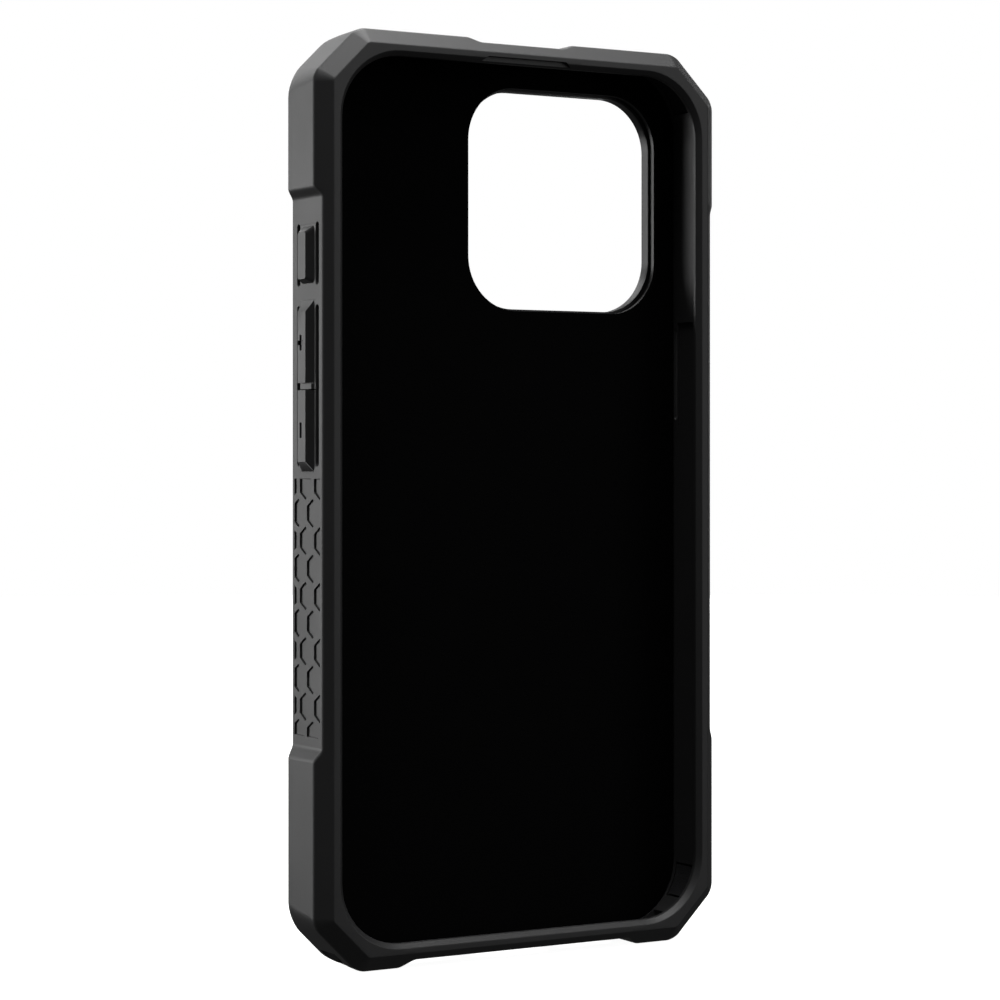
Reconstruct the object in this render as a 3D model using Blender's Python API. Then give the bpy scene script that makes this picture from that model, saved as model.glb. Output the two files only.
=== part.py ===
"""A rugged phone case, standing upright on its bottom bumpers.

X runs across the case, Y from the screen side (-Y) to the back (+Y), and Z up its long axis. The origin
is the middle of the bounding box's bottom. Sizes are in metres, through MM. Heights in the tables below
are measured from the middle of the case and depths from the plane of the front rim, because a case is
drawn round its phone; at() turns the two into places.
"""

import math

import bmesh
import bpy
from mathutils import Matrix, Vector

MM = 0.001

# The phone that the case is made for, in mm, and the air left round it.
PHONE_HALF_WIDTH, PHONE_HALF_HEIGHT = 35.3, 73.3
PHONE_CORNER = 11.0
FIT = 0.15
GAP = 0.3
# How far a cutter reaches past the face that it opens, and how far a tool stands out of a side wall.
OVERCUT, TOOL_REACH = 0.5, 2.0

# The outline: an octagon, given by its half width, its half height and the sum at which its corners are cut.
RIM = (35.6, 72.8, 102.0)
BUMPER_FRONT = (38.03, 75.33, 105.6)
BUMPER_BACK = (38.03, 75.33, 105.0)
BACK_FACE = (35.2, 72.5, 102.0)
RIM_RADIUS, FRONT_RADIUS, BACK_RADIUS = 0.9, 3.4, 7.2
BEVEL_DEPTH = 2.35
BACK_BEVEL_START = 11.6
FRAME_DEPTH = 13.0
GUARD_DEPTH = 14.2
HALF_HEIGHT = BUMPER_FRONT[1]

# The waists between the corner bumpers: face, and the places where the step starts and ends.
SIDE_WAIST = {"face": 37.03, "full": (-39.4, 47.6), "ends": (-41.4, 49.6)}
TOP_WAIST = {"face": 74.55, "full": (-6.9, 6.9), "ends": (-10.3, 10.3)}
BOTTOM_WAIST = {"face": 74.55, "full": (-20.3, 20.3), "ends": (-23.3, 23.3)}
# How far the step's tool climbs, how far out the tool reaches, and how many flats make the step.
WAIST_RISE, WAIST_TOOL_HEIGHT, WAIST_STEPS = 1.6, 5.0, 5

# The lip that holds the screen's edge, and the bay behind it.
LIP_OPENING, LIP_OPENING_RADIUS = (34.92, 72.3), 11.5
LIP_INNER, LIP_RADIUS = (33.67, 71.05), 10.3
LIP_CHAMFER_START, LIP_CHAMFER_DEPTH = -0.6, 0.9
BAY_FRONT = 1.6
BAY = (PHONE_HALF_WIDTH + FIT, PHONE_HALF_HEIGHT + FIT)
LINING_FRONT, LINING_BACK = 10.05, 10.45
SHELL_FRONT, SHELL_STEP, SHELL_BACK = 10.75, 11.6, 12.9
FLANGE_OPENING, FLANGE_RADIUS = (33.2, 71.2), 9.0
FLANGE_FRONT = 11.9
# The earpiece scoop in the front of the lip: its outline and its depth.
SCOOP = [(-8.4, 71.32), (8.4, 71.32), (7.3, 72.12), (-7.4, 72.12)]
SCOOP_DEPTH = 0.78

# The camera window and its guard.
CAMERA_CENTRE = (13.0, 50.0)
CAMERA_WINDOW = (18.6, 18.7)
GUARD_INNER, GUARD_OUTER = (18.2, 18.3), (20.5, 20.6)
GUARD_RADIUS, WINDOW_RADIUS = 11.0, 9.0
GUARD_SEAT = 12.0

# The side buttons: middle of the cover's depth, half its strip, half the raised face, and its heights.
BUTTON_DEPTH = 6.4
STRIP_HALF, BUMP_BASE_HALF, BUMP_TOP_HALF = 2.77, 2.24, 1.4
WINDOW_HALF = 3.98
BUMP_RISE = 1.15
STRIP_THICKNESS = 1.1
WINDOW_CORNER = 0.6
NOTCH_MIDDLE, NOTCH_HALF, NOTCH_RISE = 18.0, 0.6, 0.4
# Each cover: its side, its ends, the ends of its raised face, and which end, if any, stops at the notch.
BUTTONS = {
    "action_button": (-1, 34.4, 43.9, 35.2, 42.7, 0),
    "volume_up_button": (-1, NOTCH_MIDDLE + GAP / 2, 31.85, NOTCH_MIDDLE + GAP / 2, 30.05, -1),
    "volume_down_button": (-1, 4.45, NOTCH_MIDDLE - GAP / 2, 6.05, NOTCH_MIDDLE - GAP / 2, 1),
    "power_button": (1, 12.5, 30.0, 14.2, 28.3, 0),
}
# Each window in the side walls: its side and the ends of the covers in it.
WINDOWS = {
    "action": (-1, 34.4, 43.9),
    "volume": (-1, 4.45, 31.85),
    "power": (1, 12.5, 30.0),
}

# The ports in the bottom wall: middle, half width and half depth.
PORTS = {
    "port_cut": (0, 6.8, 3.2),
    "speaker_cut": (14.6, 5.2, 1.3),
    "microphone_cut": (-14.6, 5.2, 1.3),
}

# How nearly a port's ends are half circles: a full one would leave sides of no length.
SLOT_ROUNDNESS = 0.98

# The way for a wrist strap round each lower corner: in at the cut corner, behind a bridge, and out below.
# The outlines are for the right side, as (x, height).
STRAP_DEPTHS = (4.7, 9.1)
STRAP_ENTRY = [(34.1, -73.5), (29.4, -78.2), (29.4, -74.1), (32.04, -71.44)]
STRAP_WAY = [(31.9, -73.9), (24.5, -74.4), (24.5, -71.0), (31.0, -71.0)]
STRAP_EXIT = [(27.6, -78.0), (22.6, -78.0), (22.6, -71.5), (27.6, -71.5)]

# The corner dampers: thin curved pads of impact foam in the bay's corners. Each is on a side and at an
# end, and its arc runs between two angles from the side towards the end.
DAMPER_THICKNESS, DAMPER_RECESS = 0.6, 0.9
DAMPER_DEPTHS = (3.4, 9.2)
DAMPER_MARGIN_ANGLE = 1.7
DAMPERS = {
    "corner_damper_top_right": (1, 1, 20, 70),
    "corner_damper_top_left": (-1, 1, 20, 70),
    "corner_damper_bottom_right": (1, -1, 6, 34),
    "corner_damper_bottom_left": (-1, -1, 6, 34),
}

# The magnet ring in the rear shell.
MAGNET_COUNT = 18
MAGNET_INNER, MAGNET_OUTER, MAGNET_THICKNESS = 23.0, 27.0, 0.5
MAGNET_CENTRE_HEIGHT = -1.5
MAGNET_CHANNEL_DEPTH = 0.8
MAGNET_GAP_ANGLE = 26.0
MAGNET_CHANNEL_STEPS = 48
ALIGNMENT_MAGNET, ALIGNMENT_CORNER = (2.2, 8.5), 0.4
ALIGNMENT_HEIGHT = -38.5

# The grip panel on the back.
PANEL, PANEL_CORNER = (28.5, 45.0), 6.0
PANEL_HEIGHT = -19.5
PANEL_FLOOR, PANEL_FRONT = 12.2, 12.5

# The skid pads that keep the back off a table.
SKID_HALF, SKID_CORNER = (4.5, 1.4), 1.0
SKID_DEPTHS = (12.6, 13.4)
SKID_PADS = {
    "skid_pad_top_left": (-22.0, 66.5),
    "skid_pad_top_middle": (-22.0, 33.0),
    "skid_pad_bottom_left": (-22.0, -67.6),
    "skid_pad_bottom_right": (22.0, -67.6),
}

# The honeycomb grip in both sides, below the buttons.
CELL_SIDE, CELL_PITCH, CELL_RECESS = 2.2, 5.1, 0.4
GRIP_DEPTHS, GRIP_HEIGHTS = (2.6, 11.2), (-37.9, 3.4)
GRIP_FIRST_ROW, GRIP_ROWS = 2.25, 10
GRIP_FIRST_CELL = 6.95
# The least part of a cell that is cut at the grip's edge, measured from the cell's middle.
GRIP_PART_CELL = 1.4

SOFT_BLACK = ("soft black", (0.028, 0.028, 0.029), 0.62, 0.0)
HARD_BLACK = ("hard black", (0.022, 0.022, 0.023), 0.45, 0.0)
BUTTON_BLACK = ("button black", (0.03, 0.03, 0.031), 0.55, 0.0)
LINING_GREY = ("lining grey", (0.012, 0.012, 0.012), 0.95, 0.0)
GUARD_METAL = ("guard metal", (0.05, 0.05, 0.052), 0.35, 0.9)
MAGNET_METAL = ("magnet metal", (0.6, 0.6, 0.58), 0.3, 1.0)
FOAM_GREY = ("foam grey", (0.08, 0.08, 0.085), 0.9, 0.0)


def clear_scene():
    for obj in list(bpy.data.objects):
        bpy.data.objects.remove(obj)


def at(x, depth, height):
    """The place in metres of a point given in mm across, behind the rim and above the middle."""
    return Vector((x, depth - GUARD_DEPTH / 2, height + HALF_HEIGHT)) * MM


def material(name, colour, roughness, metallic):
    """The finish of this name, made once."""
    made = bpy.data.materials.get(name)
    if made:
        return made
    made = bpy.data.materials.new(name)
    made.use_nodes = True
    shader = made.node_tree.nodes["Principled BSDF"]
    shader.inputs["Base Color"].default_value = (*colour, 1)
    shader.inputs["Roughness"].default_value = roughness
    shader.inputs["Metallic"].default_value = metallic
    return made


def piece(name, bm, finish):
    """Makes a bmesh an object of this name with its normals outwards."""
    bmesh.ops.recalc_face_normals(bm, faces=bm.faces)
    mesh = bpy.data.meshes.new(name)
    bm.to_mesh(mesh)
    bm.free()
    obj = bpy.data.objects.new(name, mesh)
    bpy.context.scene.collection.objects.link(obj)
    if finish:
        mesh.materials.append(material(*finish))
    return obj


def cutter(name, bm):
    """Makes a bmesh a hidden tool for Booleans."""
    obj = piece(name, bm, None)
    obj.hide_render = True
    obj.display_type = "WIRE"
    return obj


def apply_boolean(obj, other, operation="DIFFERENCE"):
    modifier = obj.modifiers.new(other.name, "BOOLEAN")
    modifier.object = other
    modifier.operation = operation
    modifier.solver = "EXACT"


def set_origin(obj, place):
    """Moves an object's origin to a place, and leaves its shape where it is."""
    obj.data.transform(Matrix.Translation(-place))
    obj.location = place


# Outlines, as lists of (x, height).


def rounded(corners, radius, steps=6):
    """The outline through these corners of a convex shape, each turned into an arc."""
    points = []
    count = len(corners)
    for i, corner in enumerate(corners):
        here = Vector(corner)
        to_last = (Vector(corners[i - 1]) - here).normalized()
        to_next = (Vector(corners[(i + 1) % count]) - here).normalized()
        turn = math.pi - to_last.angle(to_next)
        reach = radius * math.tan(turn / 2)
        middle = here + (to_last + to_next).normalized() * radius / math.cos(turn / 2)
        first = here + to_last * reach - middle
        side = 1 if to_next.x * to_last.y - to_next.y * to_last.x > 0 else -1
        for step in range(steps + 1):
            arm = Matrix.Rotation(side * turn * step / steps, 2) @ first
            points.append(tuple(middle + arm))
    return points


def octagon(sizes, radius, steps=6):
    width, height, cut = sizes
    upper = [(width, cut - width), (cut - height, height), (height - cut, height), (-width, cut - width)]
    lower = [(x, -z) for x, z in reversed(upper)]
    return rounded(upper + lower, radius, steps)


def rectangle(sizes, radius, centre=(0, 0), steps=6):
    width, height = sizes
    corners = [(width, -height), (width, height), (-width, height), (-width, -height)]
    return [(x + centre[0], z + centre[1]) for x, z in rounded(corners, radius, steps)]


def waist(face, full, ends):
    """The profile of what a waist removes, as (outwards, along): a smooth step down at each end."""
    profile = [(face + WAIST_TOOL_HEIGHT, ends[0])]
    for start, stop, down in ((ends[0], full[0], True), (full[1], ends[1], False)):
        for step in range(WAIST_STEPS + 1):
            part = step / WAIST_STEPS
            smooth = part * part * (3 - 2 * part)
            height = 1 - smooth if down else smooth
            profile.append((face + WAIST_RISE * height, start + (stop - start) * part))
    return profile + [(face + WAIST_TOOL_HEIGHT, ends[1])]


# Solids from outlines.


def loft(sections):
    """A closed solid through outlines of equal length, given as (outline, depth)."""
    bm = bmesh.new()
    rings = []
    for outline, depth in sections:
        verts = [bm.verts.new(at(x, depth, z)) for x, z in outline]
        edges = [bm.edges.new((verts[i - 1], vert)) for i, vert in enumerate(verts)]
        rings.append((verts, edges))
    for (_, front), (_, back) in zip(rings, rings[1:]):
        bmesh.ops.bridge_loops(bm, edges=front + back)
    for verts, _ in (rings[0], rings[-1]):
        bm.faces.new(verts)
    return bm


def prism(outline, front, back):
    return loft([(outline, front), (outline, back)])


def block(low, high):
    """A box between two corners, each (x, depth, height)."""
    (x0, d0, z0), (x1, d1, z1) = low, high
    return prism([(x0, z0), (x1, z0), (x1, z1), (x0, z1)], d0, d1)


def side_prism(outline, inner, outer):
    """A solid whose outline is given as (depth, height), between two places across the case."""
    bm = bmesh.new()
    verts = [bm.verts.new(at(inner, depth, z)) for depth, z in outline]
    base = bm.faces.new(verts)
    made = bmesh.ops.extrude_face_region(bm, geom=[base])
    moved = [item for item in made["geom"] if isinstance(item, bmesh.types.BMVert)]
    bmesh.ops.translate(bm, verts=moved, vec=((outer - inner) * MM, 0, 0))
    return bm


# The bumper frame.


def frame_outside():
    return loft(
        [
            (octagon(RIM, RIM_RADIUS), 0),
            (octagon(BUMPER_FRONT, FRONT_RADIUS), BEVEL_DEPTH),
            (octagon(BUMPER_BACK, BACK_RADIUS), BACK_BEVEL_START),
            (octagon(BACK_FACE, BACK_RADIUS), FRAME_DEPTH),
        ]
    )


def cut_waists(frame):
    """Takes the waists out of the sides, the top and the bottom, behind the bevel that all parts share."""
    side = waist(**SIDE_WAIST)
    top = waist(**TOP_WAIST)
    bottom = waist(**BOTTOM_WAIST)
    outlines = {
        "waist_left": [(-out, along) for out, along in side],
        "waist_right": side,
        "waist_top": [(along, out) for out, along in top],
        "waist_bottom": [(along, -out) for out, along in bottom],
    }
    for name, outline in outlines.items():
        apply_boolean(frame, cutter(name, prism(outline, -OVERCUT, FRAME_DEPTH + OVERCUT)))


def cut_bay(frame):
    """Takes out the screen opening, the bay that the phone fills, and the opening that the shell fills."""
    lip = loft(
        [
            (rectangle(LIP_OPENING, LIP_OPENING_RADIUS), LIP_CHAMFER_START),
            (rectangle(LIP_INNER, LIP_RADIUS), LIP_CHAMFER_DEPTH),
            (rectangle(LIP_INNER, LIP_RADIUS), BAY_FRONT + OVERCUT),
        ]
    )
    apply_boolean(frame, cutter("lip_cut", lip))
    apply_boolean(frame, cutter("bay_cut", prism(rectangle(BAY, PHONE_CORNER), BAY_FRONT, FLANGE_FRONT)))
    flange = prism(rectangle(FLANGE_OPENING, FLANGE_RADIUS), FLANGE_FRONT - OVERCUT, FRAME_DEPTH + OVERCUT)
    apply_boolean(frame, cutter("flange_cut", flange))
    seat = rectangle((GUARD_OUTER[0] + GAP, GUARD_OUTER[1] + GAP), GUARD_RADIUS + GAP, CAMERA_CENTRE)
    seat_tool = prism(seat, FLANGE_FRONT - OVERCUT, FRAME_DEPTH + OVERCUT)
    apply_boolean(frame, cutter("guard_seat_cut", seat_tool))


def cut_scoop(frame):
    """Takes the earpiece scoop out of the top of the lip, and leaves a thin sill."""
    apply_boolean(frame, cutter("scoop_cut", prism(SCOOP, -OVERCUT, SCOOP_DEPTH)))


def slot_tool(middle, half_width, half_depth):
    """A slot through the bottom wall, with round ends."""
    outline = rounded(
        [
            (middle + half_width, BUTTON_DEPTH - half_depth),
            (middle + half_width, BUTTON_DEPTH + half_depth),
            (middle - half_width, BUTTON_DEPTH + half_depth),
            (middle - half_width, BUTTON_DEPTH - half_depth),
        ],
        half_depth * SLOT_ROUNDNESS,
    )
    low, high = -HALF_HEIGHT - OVERCUT, -BAY[1] + OVERCUT
    bm = bmesh.new()
    verts = [bm.verts.new(at(x, depth, low)) for x, depth in outline]
    made = bmesh.ops.extrude_face_region(bm, geom=[bm.faces.new(verts)])
    moved = [item for item in made["geom"] if isinstance(item, bmesh.types.BMVert)]
    bmesh.ops.translate(bm, verts=moved, vec=(0, 0, (high - low) * MM))
    return bm


def cut_ports(frame):
    """Takes out the charging port and the slots for the speaker and the microphone."""
    for name, sizes in PORTS.items():
        apply_boolean(frame, cutter(name, slot_tool(*sizes)))


def cut_strap_way(frame, name, side):
    """Cuts the way for a wrist strap round one lower corner."""
    for part, outline in (("entry", STRAP_ENTRY), ("way", STRAP_WAY), ("exit", STRAP_EXIT)):
        tool = prism([(side * x, z) for x, z in outline], *STRAP_DEPTHS)
        apply_boolean(frame, cutter(f"{name}_{part}", tool))


def grip_cells(side):
    """The honeycomb's pockets in one side wall, as one tool."""
    bm = bmesh.new()
    face = SIDE_WAIST["face"]
    row_pitch = CELL_PITCH * math.sqrt(3) / 2
    for row in range(GRIP_ROWS):
        height = GRIP_FIRST_ROW - row * row_pitch
        first = GRIP_FIRST_CELL - CELL_PITCH + (row % 2) * -CELL_PITCH / 2
        for column in range(4):
            depth = first + column * CELL_PITCH
            if not GRIP_DEPTHS[0] - GRIP_PART_CELL < depth < GRIP_DEPTHS[1] + GRIP_PART_CELL:
                continue
            made = bmesh.ops.create_circle(bm, cap_ends=True, segments=6, radius=CELL_SIDE * MM)
            turn = Matrix.Rotation(math.pi / 2, 4, "Y")
            place = Matrix.Translation(at(side * (face - CELL_RECESS), depth, height))
            bmesh.ops.transform(bm, matrix=place @ turn, verts=made["verts"])
    out = bmesh.ops.extrude_face_region(bm, geom=bm.faces[:])
    moved = [item for item in out["geom"] if isinstance(item, bmesh.types.BMVert)]
    bmesh.ops.translate(bm, verts=moved, vec=(side * TOOL_REACH * MM, 0, 0))
    return bm


def cut_grip(frame, name, side):
    cells = cutter(name + "_cells", grip_cells(side))
    face = SIDE_WAIST["face"]
    inner, outer = sorted((side * (face - OVERCUT), side * (face + TOOL_REACH)))
    bounds = block((inner, GRIP_DEPTHS[0], GRIP_HEIGHTS[0]), (outer, GRIP_DEPTHS[1], GRIP_HEIGHTS[1]))
    apply_boolean(cells, cutter(name + "_bounds", bounds), "INTERSECT")
    apply_boolean(frame, cells)


def cut_button_window(frame, name, side, low, high):
    outline = rounded(
        [
            (BUTTON_DEPTH + WINDOW_HALF, low - GAP),
            (BUTTON_DEPTH + WINDOW_HALF, high + GAP),
            (BUTTON_DEPTH - WINDOW_HALF, high + GAP),
            (BUTTON_DEPTH - WINDOW_HALF, low - GAP),
        ],
        WINDOW_CORNER,
        3,
    )
    inner, outer = BAY[0] - OVERCUT, SIDE_WAIST["face"] + TOOL_REACH
    tool = side_prism(outline, side * inner, side * outer)
    apply_boolean(frame, cutter(name + "_window", tool))


# The button covers.


def button(name, side, low, high, bump_low, bump_high, notch_end=0):
    """A cover strip with a raised bar on it. notch_end is -1 or 1 for an end that stops at a lowered notch."""
    face = SIDE_WAIST["face"]
    strip = [
        (BUTTON_DEPTH - STRIP_HALF, low),
        (BUTTON_DEPTH + STRIP_HALF, low),
        (BUTTON_DEPTH + STRIP_HALF, high),
        (BUTTON_DEPTH - STRIP_HALF, high),
    ]
    obj = piece(name, side_prism(strip, side * (face - STRIP_THICKNESS), side * face), BUTTON_BLACK)
    bm = bmesh.new()
    rings = []
    for out, half, bottom, top in (
        (-OVERCUT, BUMP_BASE_HALF, low, high),
        (0.0, BUMP_BASE_HALF, low, high),
        (BUMP_RISE, BUMP_TOP_HALF, bump_low, bump_high),
    ):
        corners = [(-half, bottom), (half, bottom), (half, top), (-half, top)]
        rings.append([bm.verts.new(at(side * (face + out), BUTTON_DEPTH + d, z)) for d, z in corners])
    for near, far in zip(rings, rings[1:]):
        for i in range(4):
            bm.faces.new((near[i - 1], near[i], far[i], far[i - 1]))
    bm.faces.new(rings[0])
    bm.faces.new(rings[-1])
    bar = cutter(name + "_bar", bm)
    apply_boolean(obj, bar, "UNION")
    if notch_end:
        edge = high if notch_end > 0 else low
        bottom, top = sorted((edge - notch_end * NOTCH_HALF, edge + notch_end * OVERCUT))
        inner, outer = sorted((side * (face + NOTCH_RISE), side * (face + TOOL_REACH)))
        lowered = block((inner, 0, bottom), (outer, FRAME_DEPTH, top))
        apply_boolean(obj, cutter(name + "_notch", lowered))
    set_origin(obj, at(side * face, BUTTON_DEPTH, (low + high) / 2))
    return obj


def make_frame():
    frame = piece("bumper_frame", frame_outside(), SOFT_BLACK)
    cut_waists(frame)
    cut_bay(frame)
    cut_scoop(frame)
    cut_ports(frame)
    for name, side in (("strap_left", -1), ("strap_right", 1)):
        cut_strap_way(frame, name, side)
    for name, side in (("grip_left", -1), ("grip_right", 1)):
        cut_grip(frame, name, side)
    for name, (side, low, high) in WINDOWS.items():
        cut_button_window(frame, name, side, low, high)
    cut_damper_pockets(frame)


def make_buttons():
    for name, values in BUTTONS.items():
        button(name, *values)


def arc_band(sides, angles, radii, steps=6):
    """A band round the bay's corner, as an outline; angles are from the side towards the end."""
    middle = Vector((BAY[0] - PHONE_CORNER, BAY[1] - PHONE_CORNER))
    outline = []
    for radius, turns in ((radii[1], range(steps + 1)), (radii[0], range(steps, -1, -1))):
        for step in turns:
            angle = math.radians(angles[0] + (angles[1] - angles[0]) * step / steps)
            point = middle + radius * Vector((math.cos(angle), math.sin(angle)))
            outline.append((sides[0] * point.x, sides[1] * point.y))
    return outline


def cut_damper_pockets(frame):
    depths = (DAMPER_DEPTHS[0] - GAP, DAMPER_DEPTHS[1] + GAP)
    radii = (PHONE_CORNER - OVERCUT, PHONE_CORNER + DAMPER_RECESS)
    for name, (right, up, first, last) in DAMPERS.items():
        angles = (first - DAMPER_MARGIN_ANGLE, last + DAMPER_MARGIN_ANGLE)
        pocket = arc_band((right, up), angles, radii)
        apply_boolean(frame, cutter(name + "_pocket", prism(pocket, *depths)))


def make_dampers():
    for name, (right, up, first, last) in DAMPERS.items():
        band = arc_band((right, up), (first, last), (PHONE_CORNER, PHONE_CORNER + DAMPER_THICKNESS))
        piece(name, prism(band, *DAMPER_DEPTHS), FOAM_GREY)


# The back: lining, shell, magnets, panel, guard and skid pads.


def window(sizes, radius, front, back):
    return prism(rectangle(sizes, radius, CAMERA_CENTRE), front, back)


def make_lining():
    outline = rectangle((BAY[0] - GAP, BAY[1] - GAP), PHONE_CORNER - GAP)
    lining = piece("inner_lining", prism(outline, LINING_FRONT, LINING_BACK), LINING_GREY)
    hole = window(CAMERA_WINDOW, WINDOW_RADIUS, LINING_FRONT - OVERCUT, LINING_BACK + OVERCUT)
    apply_boolean(lining, cutter("lining_window", hole))


def magnet_outline(angle, spread, inner, outer, steps=2):
    """One magnet of the ring, as an outline of a short arc."""
    outline = []
    for radius, turns in ((outer, range(steps + 1)), (inner, range(steps, -1, -1))):
        for step in turns:
            turn = angle + spread * (step / steps - 0.5)
            outline.append((radius * math.sin(turn), MAGNET_CENTRE_HEIGHT + radius * math.cos(turn)))
    return outline


def cut_magnet_seats(shell):
    bm = bmesh.new()
    floor = SHELL_FRONT + MAGNET_CHANNEL_DEPTH
    steps = MAGNET_CHANNEL_STEPS
    inner, outer = MAGNET_INNER - GAP, MAGNET_OUTER + GAP
    rings = []
    for radius in (inner, outer):
        for depth in (SHELL_FRONT - OVERCUT, floor):
            rings.append(
                [
                    bm.verts.new(
                        at(
                            radius * math.sin(2 * math.pi * i / steps),
                            depth,
                            MAGNET_CENTRE_HEIGHT + radius * math.cos(2 * math.pi * i / steps),
                        )
                    )
                    for i in range(steps)
                ]
            )
    order = (rings[0], rings[1], rings[3], rings[2])
    for near, far in zip(order, order[1:] + order[:1]):
        for i in range(steps):
            bm.faces.new((near[i - 1], near[i], far[i], far[i - 1]))
    apply_boolean(shell, cutter("magnet_channel", bm))
    sizes = (ALIGNMENT_MAGNET[0] + GAP, ALIGNMENT_MAGNET[1] + GAP)
    seat = rectangle(sizes, ALIGNMENT_CORNER + GAP, (0, ALIGNMENT_HEIGHT), 2)
    apply_boolean(shell, cutter("alignment_seat", prism(seat, SHELL_FRONT - OVERCUT, floor)))


def make_shell():
    plate = rectangle((BAY[0] - GAP, BAY[1] - GAP), PHONE_CORNER - GAP)
    shell = piece("rear_shell", prism(plate, SHELL_FRONT, SHELL_STEP), HARD_BLACK)
    raised = rectangle((FLANGE_OPENING[0] - GAP, FLANGE_OPENING[1] - GAP), FLANGE_RADIUS - GAP)
    apply_boolean(shell, cutter("shell_raised", prism(raised, SHELL_STEP - OVERCUT, SHELL_BACK)), "UNION")
    hole = window(CAMERA_WINDOW, WINDOW_RADIUS, SHELL_FRONT - OVERCUT, SHELL_BACK + OVERCUT)
    apply_boolean(shell, cutter("shell_window", hole))
    sizes = (GUARD_OUTER[0] + GAP, GUARD_OUTER[1] + GAP)
    seat = window(sizes, GUARD_RADIUS + GAP, GUARD_SEAT - GAP, SHELL_BACK + OVERCUT)
    apply_boolean(shell, cutter("shell_guard_seat", seat))
    cut_magnet_seats(shell)
    recess = rectangle((PANEL[0] + GAP, PANEL[1] + GAP), PANEL_CORNER + GAP, (0, PANEL_HEIGHT))
    recess_tool = prism(recess, PANEL_FLOOR, SHELL_BACK + OVERCUT)
    apply_boolean(shell, cutter("shell_panel_recess", recess_tool))
    for name, centre in SKID_PADS.items():
        pocket = rectangle((SKID_HALF[0] + GAP, SKID_HALF[1] + GAP), SKID_CORNER + GAP, centre, 3)
        pocket_tool = prism(pocket, SKID_DEPTHS[0] - GAP, SHELL_BACK + OVERCUT)
        apply_boolean(shell, cutter(name + "_pocket", pocket_tool))


def make_magnets():
    spread_all = math.radians(360 - MAGNET_GAP_ANGLE)
    pitch = spread_all / MAGNET_COUNT
    spread = pitch - GAP / MAGNET_INNER
    for i in range(MAGNET_COUNT):
        angle = -spread_all / 2 + pitch * (i + 0.5)
        outline = magnet_outline(angle, spread, MAGNET_INNER, MAGNET_OUTER)
        bm = prism(outline, SHELL_FRONT, SHELL_FRONT + MAGNET_THICKNESS)
        piece(f"ring_magnet_{i + 1:02d}", bm, MAGNET_METAL)
    bar = rectangle(ALIGNMENT_MAGNET, ALIGNMENT_CORNER, (0, ALIGNMENT_HEIGHT), 2)
    piece("alignment_magnet", prism(bar, SHELL_FRONT, SHELL_FRONT + MAGNET_THICKNESS), MAGNET_METAL)


def make_panel():
    outline = rectangle(PANEL, PANEL_CORNER, (0, PANEL_HEIGHT))
    piece("rear_grip_panel", prism(outline, PANEL_FRONT, FRAME_DEPTH), SOFT_BLACK)


def make_guard():
    guard = piece("camera_guard", window(GUARD_OUTER, GUARD_RADIUS, GUARD_SEAT, GUARD_DEPTH), GUARD_METAL)
    hole = window(GUARD_INNER, WINDOW_RADIUS, GUARD_SEAT - OVERCUT, GUARD_DEPTH + OVERCUT)
    apply_boolean(guard, cutter("guard_hole", hole))


def make_skid_pads():
    for name, centre in SKID_PADS.items():
        piece(name, prism(rectangle(SKID_HALF, SKID_CORNER, centre, 3), *SKID_DEPTHS), SOFT_BLACK)


def make_case():
    clear_scene()
    make_frame()
    make_buttons()
    make_dampers()
    make_lining()
    make_shell()
    make_magnets()
    make_panel()
    make_guard()
    make_skid_pads()


make_case()
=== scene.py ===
import math

import bmesh
import bpy
from mathutils import Matrix, Vector


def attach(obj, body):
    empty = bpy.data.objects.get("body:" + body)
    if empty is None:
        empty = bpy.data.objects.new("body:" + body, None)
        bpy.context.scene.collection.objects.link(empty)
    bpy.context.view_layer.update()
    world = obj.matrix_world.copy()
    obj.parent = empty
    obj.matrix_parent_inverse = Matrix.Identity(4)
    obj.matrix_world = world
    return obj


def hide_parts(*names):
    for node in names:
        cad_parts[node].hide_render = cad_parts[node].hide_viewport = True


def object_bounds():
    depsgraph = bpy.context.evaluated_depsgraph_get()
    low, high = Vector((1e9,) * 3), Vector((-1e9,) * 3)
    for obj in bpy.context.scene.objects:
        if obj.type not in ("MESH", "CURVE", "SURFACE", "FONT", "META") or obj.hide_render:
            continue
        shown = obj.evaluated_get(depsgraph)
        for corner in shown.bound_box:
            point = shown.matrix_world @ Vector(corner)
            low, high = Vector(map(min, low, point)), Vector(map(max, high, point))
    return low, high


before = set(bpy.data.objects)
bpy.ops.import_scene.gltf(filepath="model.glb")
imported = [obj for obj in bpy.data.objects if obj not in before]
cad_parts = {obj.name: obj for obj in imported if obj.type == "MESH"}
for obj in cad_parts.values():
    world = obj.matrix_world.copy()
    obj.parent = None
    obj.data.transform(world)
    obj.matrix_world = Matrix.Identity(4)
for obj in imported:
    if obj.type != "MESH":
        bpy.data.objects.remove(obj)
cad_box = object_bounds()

# The set. A pale round floor fades into a white sky, so that no horizon shows. Neither of them throws light
# on the case: that comes from the soft lamps, as it does on a product stand with black flags beside it.

MM = 0.001
case_low, case_high = cad_box
middle_height = (case_high.z - case_low.z) / 2 / MM


def at(across, depth, height):
    """A place in metres, from mm across the case, behind its front rim and above its middle."""
    return Vector((across, depth + case_low.y / MM, height + middle_height)) * MM


def add_object(name, data):
    made = bpy.data.objects.new(name, data)
    bpy.context.scene.collection.objects.link(made)
    return made


def new_material(name):
    """An empty node material, with its nodes and its output."""
    made = bpy.data.materials.new(name)
    made.use_nodes = True
    nodes = made.node_tree.nodes
    nodes.clear()
    return made, nodes, made.node_tree.links, nodes.new("ShaderNodeOutputMaterial")


CAMERA_YAW = math.radians(30.09)
CAMERA_DISTANCE = 461.7
CAMERA_SIDESTEP = 4.63
CAMERA_HEIGHT = 7.08

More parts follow.
